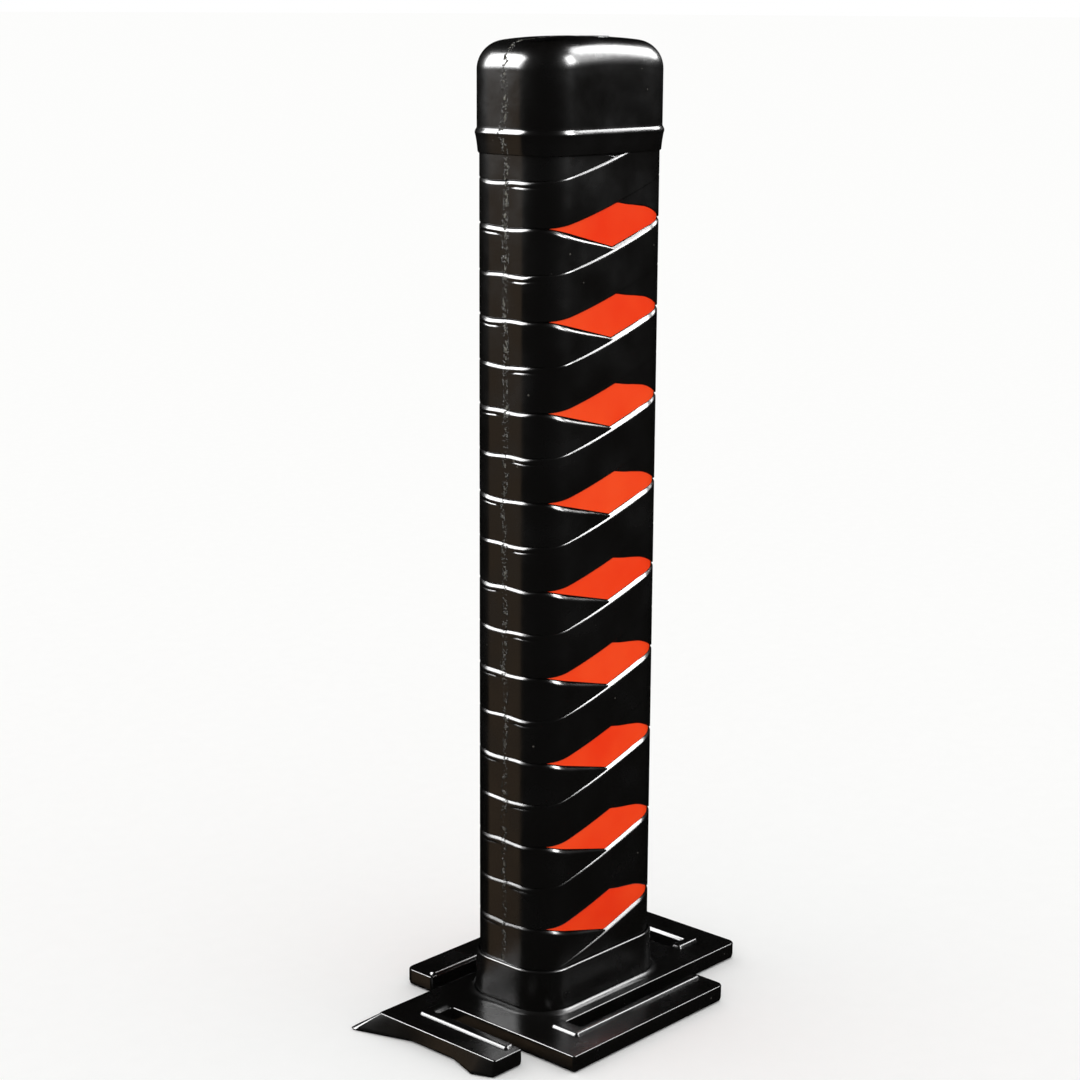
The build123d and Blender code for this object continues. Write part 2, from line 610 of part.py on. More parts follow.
# ---- ground unit ----
def slot_rims(arm_x, arm_y):
    """Raised rims beside the front slot and the left slot, on the arm and round the closed end."""
    low, top = PLATE_T - 2 * PLATE_EDGE, PLATE_T + RIM_H
    half_x, half_y = BODY_X / 2, BODY_Y / 2
    cross_x = LONG_SLOT_END_X - RIM_INSET
    far_x = cross_x - RIM_CROSS_W
    far_y = -arm_y - LONG_RIM_W
    rims = block(far_x, LONG_ARM_END_X - RIM_END, far_y, -arm_y - RIM_INSET, low, top)
    rims += block(far_x, cross_x, far_y, -half_y, low, top)
    cross_y = SHORT_SLOT_END_Y + RIM_INSET
    side_x = -arm_x - SHORT_RIM_W
    end_y = SHORT_ARM_END_Y + RIM_END
    rims += block(side_x, -arm_x - RIM_INSET, end_y, cross_y + LONG_RIM_W, low, top)
    rims += block(side_x, -half_x, cross_y, cross_y + LONG_RIM_W, low, top)
    return rims


def spread_arm(arm_x, half_y):
    """Left arm, whose foot spreads out at its back corner and, less, at its front corner."""
    outer_x = -arm_x - ARM_W
    top = [(-arm_x, half_y), (outer_x, half_y), (outer_x, FLARE_WAIST), (outer_x, -FLARE_WAIST),
           (outer_x, SHORT_ARM_END_Y + FLARE), (outer_x, SHORT_ARM_END_Y), (-arm_x, SHORT_ARM_END_Y)]
    foot = list(top)
    foot[1] = (outer_x - FLARE, half_y + FLARE)
    foot[4] = (outer_x - FLARE_FRONT, SHORT_ARM_END_Y + FLARE)
    straight_z = PLATE_T - 2 * PLATE_EDGE
    sections = [make_face(Polyline(*foot, close=True))]
    sections.append(Pos(0, 0, straight_z) * make_face(Polyline(*top, close=True)))
    upper = block(outer_x, -arm_x, SHORT_ARM_END_Y, half_y, straight_z, PLATE_T)
    return loft(sections, ruled=True) + upper


def base_plate():
    """Flat plate whose four arms bend round its middle like a pinwheel, leaving four open slots."""
    half_x, half_y = BODY_X / 2, BODY_Y / 2
    arm_y = half_y + SLOT_W
    arm_x = half_x + SLOT_W
    long_arm = block(-half_x, LONG_ARM_END_X, -arm_y - ARM_W, -arm_y, 0, PLATE_T)
    long_root = block(-half_x, LONG_SLOT_END_X, -arm_y, -half_y, 0, PLATE_T)
    short_root = block(-arm_x, -half_x, SHORT_SLOT_END_Y, half_y, 0, PLATE_T)
    short_arm = block(-arm_x - ARM_W, -arm_x, SHORT_ARM_END_Y, half_y, 0, PLATE_T)
    arms = long_arm + long_root + short_arm + short_root
    plate = block(-half_x, half_x, -half_y, half_y, 0, PLATE_T) + arms + half_turn(arms)
    plate += spread_arm(arm_x, half_y)
    plate = chamfer(plate.faces().sort_by(Axis.Z)[-1].outer_wire().edges(), PLATE_EDGE)
    rims = slot_rims(arm_x, arm_y)
    plate = plate + rims + half_turn(rims)
    hole = COLLAR_FIT + COLLAR_WALL + CAP_FIT
    plate += loft([Pos(0, 0, PLATE_T) * post_section(BOSS_REACH),
                   Pos(0, 0, PLATE_T + BOSS_H) * post_section(hole + BOSS_LIP)])
    plate -= post_prism(hole, 0, PLATE_T + BOSS_H)
    for x, y in four_corners(FLANGE_BOLT_X, FLANGE_BOLT_Y):
        plate -= rod_z(FLANGE_BOLT_R, 0, FLANGE_BOLT_TOP + RUN, x, y)
    save("base_plate", plate)


def collar():
    """Guide collar round the post, with a flange under the plate and a wiper near its top."""
    outer = COLLAR_FIT + COLLAR_WALL
    ring = post_prism(outer, -COLLAR_FLANGE_T, COLLAR_TOP_Z)
    ring += rounded_prism(FLANGE_X, FLANGE_Y, FLANGE_R, -COLLAR_FLANGE_T, 0)
    ring -= post_prism(COLLAR_FIT, -COLLAR_FLANGE_T, COLLAR_TOP_Z)
    seal_top = COLLAR_TOP_Z - SEAL_DROP
    groove = post_prism(COLLAR_FIT + SEAL_BITE, seal_top - SEAL_T, seal_top)
    ring -= groove
    for x, y in four_corners(FLANGE_BOLT_X, FLANGE_BOLT_Y):
        ring -= rod_z(FLANGE_BOLT_R, -COLLAR_FLANGE_T, 0, x, y)
    save("collar", ring)
    save("wiper_seal", groove - post_prism(WIPER_FIT, seal_top - SEAL_T, seal_top))


def casing_head():
    """Flange that carries the casing, its bolts, the guide frame and the top buffers."""
    top = -COLLAR_FLANGE_T
    low = top - FLANGE_T
    flange = rounded_prism(FLANGE_X, FLANGE_Y, FLANGE_R, low, top) - casing_prism(0, low, top)
    bolts = []
    for x, y in four_corners(FLANGE_BOLT_X, FLANGE_BOLT_Y):
        flange -= rod_z(FLANGE_BOLT_R, low, top, x, y)
        head = extrude(RegularPolygon(FLANGE_HEAD_R, 6), FLANGE_HEAD_T)
        shank = rod_z(FLANGE_BOLT_R, low, FLANGE_BOLT_TOP, x, y)
        bolts.append(shank + Pos(x, y, low - FLANGE_HEAD_T) * head)
    save("casing_flange", flange)
    save("flange_bolts", *bolts)
    guide = casing_prism(0, GUIDE_FOOT_Z, top) - post_prism(WIPER_FIT, GUIDE_FOOT_Z, top)
    save("upper_guide", guide)
    strip = block(-TOP_BUFFER_X, TOP_BUFFER_X, POST_Y / 2 + KEEPER_GAP, POST_Y / 2 + CASING_GAP,
                  GUIDE_FOOT_Z - TOP_BUFFER_T, GUIDE_FOOT_Z)
    save("top_buffers", strip, half_turn(strip))


def casing():
    """Buried casing: tube, floor, foot buffers and drain."""
    low = -COLLAR_FLANGE_T - FLANGE_T
    wall = casing_prism(CASING_WALL, CASING_FLOOR_Z, low) - casing_prism(0, CASING_FLOOR_Z, low)
    save("casing_tube", wall)
    floor_low = CASING_FLOOR_Z - CASING_FLOOR_T
    floor = casing_prism(CASING_WALL, floor_low, CASING_FLOOR_Z)
    save("casing_floor", floor - rod_z(DRAIN_R, floor_low, CASING_FLOOR_Z, DRAIN_X, 0))
    drain_low = floor_low - DRAIN_REACH
    spigot = rod_z(DRAIN_R, drain_low, CASING_FLOOR_Z, DRAIN_X, 0)
    spigot += rod_z(DRAIN_FLANGE_R, floor_low - DRAIN_FLANGE_T, floor_low, DRAIN_X, 0)
    bore = rod_z(DRAIN_BORE_R, drain_low, CASING_FLOOR_Z, DRAIN_X, 0)
    save("drain_spigot", spigot - bore)
    foot_stop = FOOT_Z - TRAVEL - RUN
    corners = four_corners(*FOOT_BUFFER_AT)
    feet = [rod_z(FOOT_BUFFER_R, CASING_FLOOR_Z, foot_stop, x, y) for x, y in corners]
    save("foot_buffers", *feet)


post_shells()
reflectors()
end_plates()
core_tube()
cap()
cap_bridge()
lock()
keyhole_shutter()
cam_disc()
latch_bolts()
latch_spring()
latch_housing()
latch_keepers()
slider_pads()
strut_body()
strut_rod()
base_plate()
collar()
casing_head()
casing()
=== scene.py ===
# %% [markdown]
# # A retractable bollard
# The working parts come from the engineering model: their places, sizes and joints are fixed. This
# lesson adds what the eye sees: the wrapped relief of the post, the softly moulded plate, cap and
# collar, and a material for every piece. Everything is in metres, and z = 0 is the paving.

# %% Load the frame
import json
import math

import bmesh
import bpy
from mathutils import Matrix, Vector


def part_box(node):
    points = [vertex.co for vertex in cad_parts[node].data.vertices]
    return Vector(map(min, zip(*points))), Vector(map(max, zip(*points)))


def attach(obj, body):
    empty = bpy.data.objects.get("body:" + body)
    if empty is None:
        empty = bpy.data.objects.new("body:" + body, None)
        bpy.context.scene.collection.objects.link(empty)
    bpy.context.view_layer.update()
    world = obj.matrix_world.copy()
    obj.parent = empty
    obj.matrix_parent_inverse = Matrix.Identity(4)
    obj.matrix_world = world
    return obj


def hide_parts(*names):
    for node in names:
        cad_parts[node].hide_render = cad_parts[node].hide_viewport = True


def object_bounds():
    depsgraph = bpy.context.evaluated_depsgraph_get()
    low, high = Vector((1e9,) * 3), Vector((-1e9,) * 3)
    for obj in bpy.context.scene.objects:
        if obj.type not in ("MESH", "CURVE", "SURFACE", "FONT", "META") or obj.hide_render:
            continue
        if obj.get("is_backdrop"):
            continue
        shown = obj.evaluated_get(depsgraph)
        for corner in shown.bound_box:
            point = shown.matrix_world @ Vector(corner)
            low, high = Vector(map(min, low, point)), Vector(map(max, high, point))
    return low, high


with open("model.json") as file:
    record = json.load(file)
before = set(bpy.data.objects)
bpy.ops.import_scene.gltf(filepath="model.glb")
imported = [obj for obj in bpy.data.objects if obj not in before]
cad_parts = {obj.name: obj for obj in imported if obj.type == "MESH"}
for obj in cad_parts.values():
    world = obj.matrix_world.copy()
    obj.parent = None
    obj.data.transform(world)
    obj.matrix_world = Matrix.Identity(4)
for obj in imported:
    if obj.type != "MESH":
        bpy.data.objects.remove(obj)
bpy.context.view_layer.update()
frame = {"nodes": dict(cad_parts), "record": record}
MM = 0.001

# %% [markdown]
# Sizes are read from the frame, so that each moulded skin lies on its own part. The front shell
# gives the post's section, and two neighbouring reflectors give the pattern's pitch.

# %% Read the sizes that the visible skins follow
shell_low, shell_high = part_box("front_shell")
first_low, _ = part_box("reflector_front_1")
second_low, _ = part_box("reflector_front_2")
_, plate_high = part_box("base_plate")
collar_low, collar_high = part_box("collar")
cap_low, cap_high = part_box("cap")

HALF_X = shell_high.x
HALF_Y = -shell_low.y
CORNER = 36 * MM            # radius of the post's corners
FLAT_X = HALF_X - CORNER    # half the flat of a wide face
FLAT_Y = HALF_Y - CORNER    # half the flat of a narrow side
PITCH = second_low.z - first_low.z
TIP_X = 81 * MM             # a diamond's tips, either way from the middle
TIP_RISE = 21.75 * MM       # and their height above its lowest point
TIP_Z = first_low.z + TIP_RISE
DIAMONDS = 9
print(f"post {HALF_X * 2:.3f} x {HALF_Y * 2:.3f} m, one diamond every {PITCH:.3f} m")


# %% [markdown]
# ## Small helpers
# A colour is written as it would be picked from a swatch, and turned to linear light once. One
# function adds a shader node with its settings and its links, which keeps each material short: a
# keyword is the socket's name, or its number after an underscore where two sockets share a name.
# Every finished mesh goes through one function too. It merges doubles, turns the normals outwards,
# keeps edges sharper than an angle crisp, and hands the piece to the body that carries it.

# %% Helpers for colours, nodes and meshes
def linear(hex_colour):
    """An sRGB hex colour as linear RGBA."""
    parts = [int(hex_colour[i:i + 2], 16) / 255 for i in (1, 3, 5)]
    return [c / 12.92 if c <= 0.04045 else ((c + 0.055) / 1.055) ** 2.4 for c in parts] + [1.0]


def add(tree, kind, settings=None, **inputs):
    """Add a node; each input is a value, or an output socket to link from."""
    node = tree.nodes.new("ShaderNode" + kind)
    for name, value in (settings or {}).items():
        setattr(node, name, value)
    for name, value in inputs.items():
        key = int(name[1:]) if name[1:].isdigit() else name.replace("_", " ")
        socket = node.inputs[key]
        if isinstance(value, bpy.types.NodeSocket):
            tree.links.new(value, socket)
        else:
            socket.default_value = value
    return node


def material(name):
    """A new node material, with its tree, its shader and its object coordinates."""
    made = bpy.data.materials.new(name)
    made.use_nodes = True
    tree = made.node_tree
    shader = tree.nodes["Principled BSDF"]
    place = add(tree, "TexCoord").outputs["Object"]
    return made, tree, shader, place


def mesh_piece(name, bm, finish, body, *nodes, sharp=35, from_slot="black_moulded_plastic"):
    """Turn a bmesh into a finished piece that rides on a body and stands for CAD nodes."""
    bmesh.ops.remove_doubles(bm, verts=bm.verts, dist=0.00001)
    bmesh.ops.recalc_face_normals(bm, faces=bm.faces)
    for face in bm.faces:
        face.smooth = True
    for edge in bm.edges:
        edge.smooth = len(edge.link_faces) == 2 and edge.calc_face_angle(0) < math.radians(sharp)
    data = bpy.data.meshes.new(name)
    bm.to_mesh(data)
    bm.free()
    piece = bpy.data.objects.new(name, data)
    bpy.context.collection.objects.link(piece)
    data.materials.append(finish)
    weighted = piece.modifiers.new("even_shading", "WEIGHTED_NORMAL")
    weighted.keep_sharp = True
    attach(piece, body)
    if nodes:
        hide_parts(*nodes)
    print(f"{name}: {len(data.polygons)} faces")
    return piece


print("grey #808080 in linear light:", [round(part, 3) for part in linear("#808080")])

# %% [markdown]
# ## Camera and stage
# The camera stands a little above the top of the post and looks down by 13 degrees, far enough
# away that the long post keeps nearly parallel sides. It is placed by a matrix, as a heading, a
# tilt and a slight roll, because three angles are easier to adjust one by one than a target.

# %% Camera
camera_data = bpy.data.cameras.new("camera")
camera_data.lens = 76.06
camera_data.sensor_width = 36
camera = bpy.data.objects.new("camera", camera_data)
bpy.context.collection.objects.link(camera)
bpy.context.scene.camera = camera
CAMERA_AT = (-1.709, -1.532, 1.035)
HEADING = 0.7432            # radians from +X towards +Y
TILT = 0.2286               # down from level
ROLL = 0.0051
aim = Matrix.Rotation(HEADING - math.pi / 2, 4, "Z") @ Matrix.Rotation(math.pi / 2 - TILT, 4, "X")
camera.matrix_world = Matrix.Translation(CAMERA_AT) @ aim @ Matrix.Rotation(ROLL, 4, "Z")
print("camera looks along", (camera.matrix_world.to_3x3() @ Vector((0, 0, -1))).to_tuple(3))

# %% [markdown]
# The floor is a sheet of matt white paper, large enough that its edge is never seen. Paper scatters
# light and hardly mirrors it, so it has no gloss at all. It lies a hair under the paving level, so
# that the plate's underside doesn't flicker against it.

# %% Floor
FLOOR_REACH = 400
FLOOR_DROP = 0.6 * MM
bm = bmesh.new()
bmesh.ops.create_grid(bm, x_segments=1, y_segments=1, size=FLOOR_REACH)
bmesh.ops.translate(bm, verts=bm.verts, vec=(0, 0, -FLOOR_DROP))
floor_mesh = bpy.data.meshes.new("floor")
bm.to_mesh(floor_mesh)
bm.free()
floor = bpy.data.objects.new("floor", floor_mesh)
bpy.context.collection.objects.link(floor)
floor_finish, tree, shader, place = material("matt_paper_sweep")
# a barely visible mottle, 25 mm across
grain = add(tree, "TexNoise", Vector=place, Scale=40.0, Detail=3.0)
tone = add(tree, "ValToRGB", Fac=grain.outputs["Fac"])
tone.color_ramp.elements[0].color = linear("#fbfbfa")
tone.color_ramp.elements[1].color = linear("#fefefd")
tree.links.new(tone.outputs["Color"], shader.inputs["Base Color"])
shader.inputs["Roughness"].default_value = 0.9
shader.inputs["Specular IOR Level"].default_value = 0.0
floor_mesh.materials.append(floor_finish)
floor.visible_glossy = False
floor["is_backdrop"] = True
print("floor:", floor_finish.name)


# %% [markdown]
# ## Black moulded plastic
# The post, cap, collar and plate are black polypropylene out of a mould. The mould leaves a satin
# gloss that is never quite even, a faint waviness every few millimetres, and small pale dust
# specks. Noise drives the gloss and the waviness, and the specks are the middles of Voronoi cells,
# kept only where another noise is high, so that they lie in loose groups. Where the mould's halves
# meet, in the middle of the narrow sides, a trimmed flash line stays: nicks a few millimetres long,
# strongest near the top. Their pale colour is partly stress-whitened flash and partly a painted
# glint, the light they catch from above. They are drawn coarser than they are.

# %% Black plastic
def moulded_black(name, seam):
    """Satin black plastic; seam adds the trimmed flash line on the narrow sides, whose pale nicks are
    partly stress-whitened flash and partly a painted glint.
    """
    made, tree, shader, place = material(name)
    shader.inputs["IOR"].default_value = 1.5
    # gloss in patches 45 mm across
    patches = add(tree, "TexNoise", Vector=place, Scale=22.0, Detail=5.0)
    gloss = add(tree, "MapRange", Value=patches.outputs["Fac"], _1=0.3, _2=0.7, _3=0.17, _4=0.29)
    tree.links.new(gloss.outputs["Result"], shader.inputs["Roughness"])
    # dust specks 14 mm apart, mostly under 2 mm wide, in groups 22 mm across
    dust = add(tree, "TexVoronoi", {"feature": "F1"}, Vector=place, Scale=70.0, Randomness=1.0)
    rare = add(tree, "TexNoise", Vector=place, Scale=45.0, Detail=1.0)
    reach = add(tree, "MapRange", Value=rare.outputs["Fac"], _1=0.56, _2=0.8, _3=0.0, _4=0.13)
    speck = add(tree, "Math", {"operation": "LESS_THAN"}, _0=dust.outputs["Distance"],
                _1=reach.outputs["Result"])
    # the plastic itself, and the dust on it
    colour = add(tree, "Mix", {"data_type": "RGBA"}, _0=speck.outputs["Value"])
    colour.inputs[6].default_value = linear("#0c0b0a")
    colour.inputs[7].default_value = linear("#4a4843")
    # waviness every 9 mm
    peel = add(tree, "TexNoise", Vector=place, Scale=110.0, Detail=3.0)
    last = add(tree, "Bump", Strength=0.3, Distance=0.0003, Height=peel.outputs["Fac"])
    if seam:
        nick_and_glint_mask = flash_nicks_and_painted_glint(tree, place)
        last = add(tree, "Bump", Strength=1.0, Distance=0.0021, Height=nick_and_glint_mask,
                   Normal=last.outputs["Normal"])
        # pale nicks: partly stress-whitened flash, partly a painted glint, strongest near the top like
        # the glints
        colour = add(tree, "Mix", {"data_type": "RGBA"}, _0=nick_and_glint_mask, _6=colour.outputs[2])
        colour.inputs[7].default_value = linear("#8d8a80")
    tree.links.new(colour.outputs[2], shader.inputs["Base Color"])
    tree.links.new(last.outputs["Normal"], shader.inputs["Normal"])
    return made


def flash_nicks_and_painted_glint(tree, place):
    """Nick mask near Y = 0, strongest on top: it drives the bump and a pale colour that is partly a
    painted glint.
    """
    parts = add(tree, "SeparateXYZ", Vector=place)
    # the line wanders by 6 mm at most, in bends 33 mm long
    drift = add(tree, "TexNoise", Vector=place, Scale=30.0, Detail=1.0)
    shift = add(tree, "MapRange", Value=drift.outputs["Fac"], _3=-0.006, _4=0.006)
    moved = add(tree, "Math", {"operation": "ADD"}, _0=parts.outputs["Y"], _1=shift.outputs["Result"])
    across = add(tree, "Math", {"operation": "ABSOLUTE"}, _0=moved.outputs["Value"])
    near = add(tree, "MapRange", {"interpolation_type": "SMOOTHSTEP"}, Value=across.outputs["Value"],
               _1=0.0, _2=0.0045, _3=1.0, _4=0.0)
    # nicks about 4 mm long
    nicks = add(tree, "TexNoise", Vector=place, Scale=260.0, Detail=3.0, Roughness=0.6)
    sharp = add(tree, "MapRange", {"interpolation_type": "SMOOTHSTEP"}, Value=nicks.outputs["Fac"],
                _1=0.52, _2=0.61, _3=0.0, _4=1.0)
    # the nicks, their bump and their painted glint alike, grow stronger towards the top
    height = add(tree, "MapRange", Value=parts.outputs["Z"], _1=0.35, _2=0.95, _3=0.25, _4=1.0)
    cut = add(tree, "Math", {"operation": "MULTIPLY"}, _0=near.outputs["Result"],
              _1=sharp.outputs["Result"])
    cut = add(tree, "Math", {"operation": "MULTIPLY"}, _0=cut.outputs["Value"],
              _1=height.outputs["Result"])
    return cut.outputs["Value"]


# the seamed plastic's pale flash-line nicks are partly a painted glint
black_seamed = moulded_black("moulded_black_polypropylene_with_flash_line", True)
black_plain = moulded_black("moulded_black_polypropylene", False)
print("black plastics made:", black_seamed.name, black_plain.name)

# %% [markdown]
# ## The wrapped post
# The shells look like a post wound with a flat band: one strand rises across the wide face on top,
# the other crosses under it, and between them a diamond stays open for each reflector. Each band
# is a flat grid of quads that is bent round the section, because a band's rounded shoulders must
# run along its slanting edges to catch the light as one clean line.

# %% Measure round the front half of the section
QUARTER = CORNER * math.pi / 2
HALF_ROUND = FLAT_X + QUARTER + FLAT_Y
BAND = PITCH / 2


def round_post(u, z, lift):
    """Point at distance u round the section from the middle of the wide face, lifted off it."""
    side = math.copysign(1, u)
    past = abs(u) - FLAT_X
    if past <= 0:
        return Vector((u, -HALF_Y - lift, z))
    if past <= QUARTER:
        turn = past / CORNER
        reach = CORNER + lift
        return Vector((side * (FLAT_X + reach * math.sin(turn)), -FLAT_Y - reach * math.cos(turn), z))
    return Vector((side * (HALF_X + lift), -FLAT_Y + past - QUARTER, z))


def part_way(x):
    """0 at the left tips of the diamonds, 1 at the right end."""
    return min(max((x + TIP_X) / (2 * TIP_X), 0.0), 1.0)


def smooth(value, low, high):
    """A soft step from 0 to 1 between two values."""
    t = min(max((value - low) / (high - low), 0.0), 1.0)
    return t * t * (3 - 2 * t)


def narrow(u):
    """1 on the narrow sides, 0 on the wide face, soft over the corner."""
    return smooth(abs(u), FLAT_X + 0.45 * QUARTER, FLAT_X + 0.95 * QUARTER)


def wobble(u, z):
    """The bands' edges run a little unevenly along the narrow sides."""
    return 0.7 * MM * narrow(u) * math.sin(u / (11 * MM) + z / (23 * MM))


print(f"half way round the section: {HALF_ROUND * 1000:.1f} mm")

# %% [markdown]
# A band's upper edge is a slanting facet, broad where it borders a diamond and faint where the two
# strands merge. The facet is what glints, so its width and depth vary along the band. A bevel
# would have one width all the way, so the skin's height is worked out from the distance to the
# band's edges instead.

# %% The bands' edges
RISING, FALLING = True, False
FACET_WIDTH, FACET_DEPTH = 1.3 * MM, 0.7 * MM    # where two strands merge
BROAD_WIDTH, BROAD_DEPTH = 3.3 * MM, 2.5 * MM    # added beside a diamond
SIDE_WIDTH, SIDE_DEPTH = 2.4 * MM, 1.5 * MM      # added on the narrow sides
BULGE = 6 * MM                                   # lifts a falling band's foot over a diamond's top


def facet(u, x, rising):
    """Width and depth of the facet along a band's upper edge."""
    side = narrow(u)
    if rising:
        broad = smooth(x, -70 * MM, 5 * MM) * (1 - 0.65 * smooth(x, 35 * MM, 80 * MM))
    else:
        broad = smooth(x, -90 * MM, -80 * MM) * (1 - smooth(x, -62 * MM, 6 * MM))
    width = FACET_WIDTH + BROAD_WIDTH * broad * (1 - side) + SIDE_WIDTH * side
    depth = FACET_DEPTH + BROAD_DEPTH * broad * (1 - side) + SIDE_DEPTH * side
    return width, depth


def band_edges(x, u, tip_z, rising):
    """Heights of a band's lower and upper edge; tip_z is the tip of the diamond beside it."""
    climb = BAND * part_way(x) ** 1.3
    width, _ = facet(u, x, rising)
    if rising:
        low, high = tip_z - PITCH + climb, tip_z - BAND + climb + 0.7 * width * (1 - narrow(u))
    else:
        bulge = BULGE * math.exp(-((x / MM - 54) / 27) ** 2)
        low = tip_z - BAND - BAND * part_way(x) + bulge
        high = tip_z - BAND * part_way(x)
    return low + wobble(u, low), high + wobble(u, high)


# distances of the skin's rows from a band's edges, in millimetres, closest on the facet
FROM_TOP = [0, 0.5, 1.1, 1.7, 2.3, 2.9, 3.5, 4.2, 5.2, 6.2, 7.0, 7.8, 9.0]
FROM_FOOT = [9.0, 4.0, 2.0, 1.4, 0.9, 0.4, 0]


def relief(u, x, to_top, to_foot, rising):
    """Height of the band's skin: a facet on top, a small round below."""
    width, depth = facet(u, x, rising)
    past = 1 - to_top / width
    skin = -depth * 0.5 * (past + math.sqrt(past * past + 0.02))
    foot_r = (0.6 + 0.8 * (1 - narrow(u))) * MM
    if to_foot < foot_r:
        skin -= 1.6 * foot_r * (1 - math.sqrt(1 - (1 - to_foot / foot_r) ** 2))
    if rising:
        second = narrow(u) * smooth(-abs(u), -(HALF_ROUND - 4 * MM), -(HALF_ROUND - 14 * MM))
        skin -= 0.8 * MM * second * math.exp(-((to_top / MM - 7.0) / 1.0) ** 2)
    else:
        skin -= 1.3 * MM * max(0.0, 1 - (x / TIP_X) ** 2)
    return skin


print(f"facet beside a diamond: {facet(0, 0, RISING)[0] * 1000:.1f} mm wide")

# %% [markdown]
# Each band starts as a flat grid. Its columns run once round the front half, its rows are spaced
# from the band's own edges, and every vertex is then lifted off the section by the relief. The skin
# is extruded inwards for its wall, because the far side of a moulded shell is plain.

# %% Bend one band round the post
def band(bm, tip_z, rising):
    """One strand of the wrap on the front half."""
    rows = len(FROM_TOP) + len(FROM_FOOT)
    made = bmesh.ops.create_grid(bm, x_segments=78, y_segments=rows - 1, size=1)
    for vert in made["verts"]:
        u = vert.co.x * HALF_ROUND
        row = round((vert.co.y + 1) / 2 * (rows - 1))
        x = round_post(u, 0, 0).x
        low, high = band_edges(x, u, tip_z, rising)
        if row < len(FROM_FOOT):
            z = low + FROM_FOOT[len(FROM_FOOT) - 1 - row] * MM
        else:
            z = high - FROM_TOP[rows - 1 - row] * MM
        lift = relief(u, x, high - z, z - low, rising)
        vert.co = round_post(u, z, lift)
    faces = list({face for vert in made["verts"] for face in vert.link_faces})
    bmesh.ops.recalc_face_normals(bm, faces=faces)
    return faces


def sleeve(bm, low, high, outer, inner):
    """Plain stretch of the front half between two heights, with an even wall."""
    made = bmesh.ops.create_grid(bm, x_segments=60, y_segments=1, size=1)
    faces = list({face for vert in made["verts"] for face in vert.link_faces})
    for vert in made["verts"]:
        z = low if vert.co.y < 0 else high
        vert.co = round_post(vert.co.x * HALF_ROUND, z, outer)
    thicken(bm, faces, outer - inner)


def thicken(bm, faces, depth):
    """Extrude a skin inwards along the section, which closes it into a wall."""
    wall = bmesh.ops.extrude_face_region(bm, geom=faces)
    for item in wall["geom"]:
        if isinstance(item, bmesh.types.BMVert):
            item.co -= shell_normal(item.co) * depth


def shell_normal(point):
    """Outward direction of the section at a point on its front half."""
    dx = max(abs(point.x) - FLAT_X, 0) * math.copysign(1, point.x)
    dy = max(abs(point.y) - FLAT_Y, 0) * math.copysign(1, point.y)
    if dx == 0 and dy == 0:
        return Vector((0, -1, 0))
    return Vector((dx, dy, 0)).normalized()


print(f"rows in a band: {len(FROM_TOP) + len(FROM_FOOT)}")

# %% [markdown]
# The two shells are the same moulding, turned by half a turn. Bands are stacked past both ends of
# the pattern, cut level under the cap, and backed by a plain sleeve, so that no gap between two
# strands shows the inside. Below the pattern the post is a plain sleeve that slides in the collar.

# %% Build both shells
BAND_WALL = 2.2 * MM
BACKING_OUT, BACKING_IN = -2.85 * MM, -6 * MM
FOOT_IN = -5.9 * MM


def wrapped_shell(name, turned, node):
    """One half of the post's skin, backed and closed."""
    bm = bmesh.new()
    for level in range(DIAMONDS + 2):
        for rising in (RISING, FALLING):
            thicken(bm, band(bm, TIP_Z + level * PITCH, rising), BAND_WALL)
    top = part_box("cap_gasket")[0].z
    geom = bm.verts[:] + bm.edges[:] + bm.faces[:]
    bmesh.ops.bisect_plane(bm, geom=geom, plane_co=(0, 0, top), plane_no=(0, 0, 1), clear_outer=True)
    holes = [edge for edge in bm.edges if edge.is_boundary]
    bmesh.ops.holes_fill(bm, edges=holes)
    sleeve(bm, shell_low.z, top, BACKING_OUT, BACKING_IN)
    sleeve(bm, shell_low.z, TIP_Z - PITCH, 0, FOOT_IN)
    if turned:
        bmesh.ops.rotate(bm, verts=bm.verts, matrix=Matrix.Rotation(math.pi, 3, "Z"))
    return mesh_piece(name, bm, black_seamed, "post", node)


wrapped_shell("front_wrapped_shell", False, "front_shell")
wrapped_shell("rear_wrapped_shell", True, "rear_shell")


# %% [markdown]
# ## Cap
# The cap is a deep moulded dome: straight sides, a broad soft edge, a proud lip and a skirt that
# draws in to the shells. A spin can't follow a rounded rectangle, so the post's own outline is
# repeated ring by ring, grown or drawn in by an even amount, and neighbouring rings are joined. The
# bridge operator may turn two flat rings against each other by half a turn, which would close the
# opening, so the quads between rings are laid one by one.

# %% Rings on the post's section
def section_ring(bm, grow, z):
    """A closed ring of vertices on the post's section, grown by an even amount."""
    made = bmesh.ops.create_circle(bm, segments=96, radius=1, cap_ends=False)
    verts = made["verts"]
    for vert in verts:
        angle = math.atan2(vert.co.y, vert.co.x)
        vert.co = ring_point(angle, grow, z)
    return verts, [edge for edge in bm.edges if edge.verts[0] in verts and edge.verts[1] in verts]


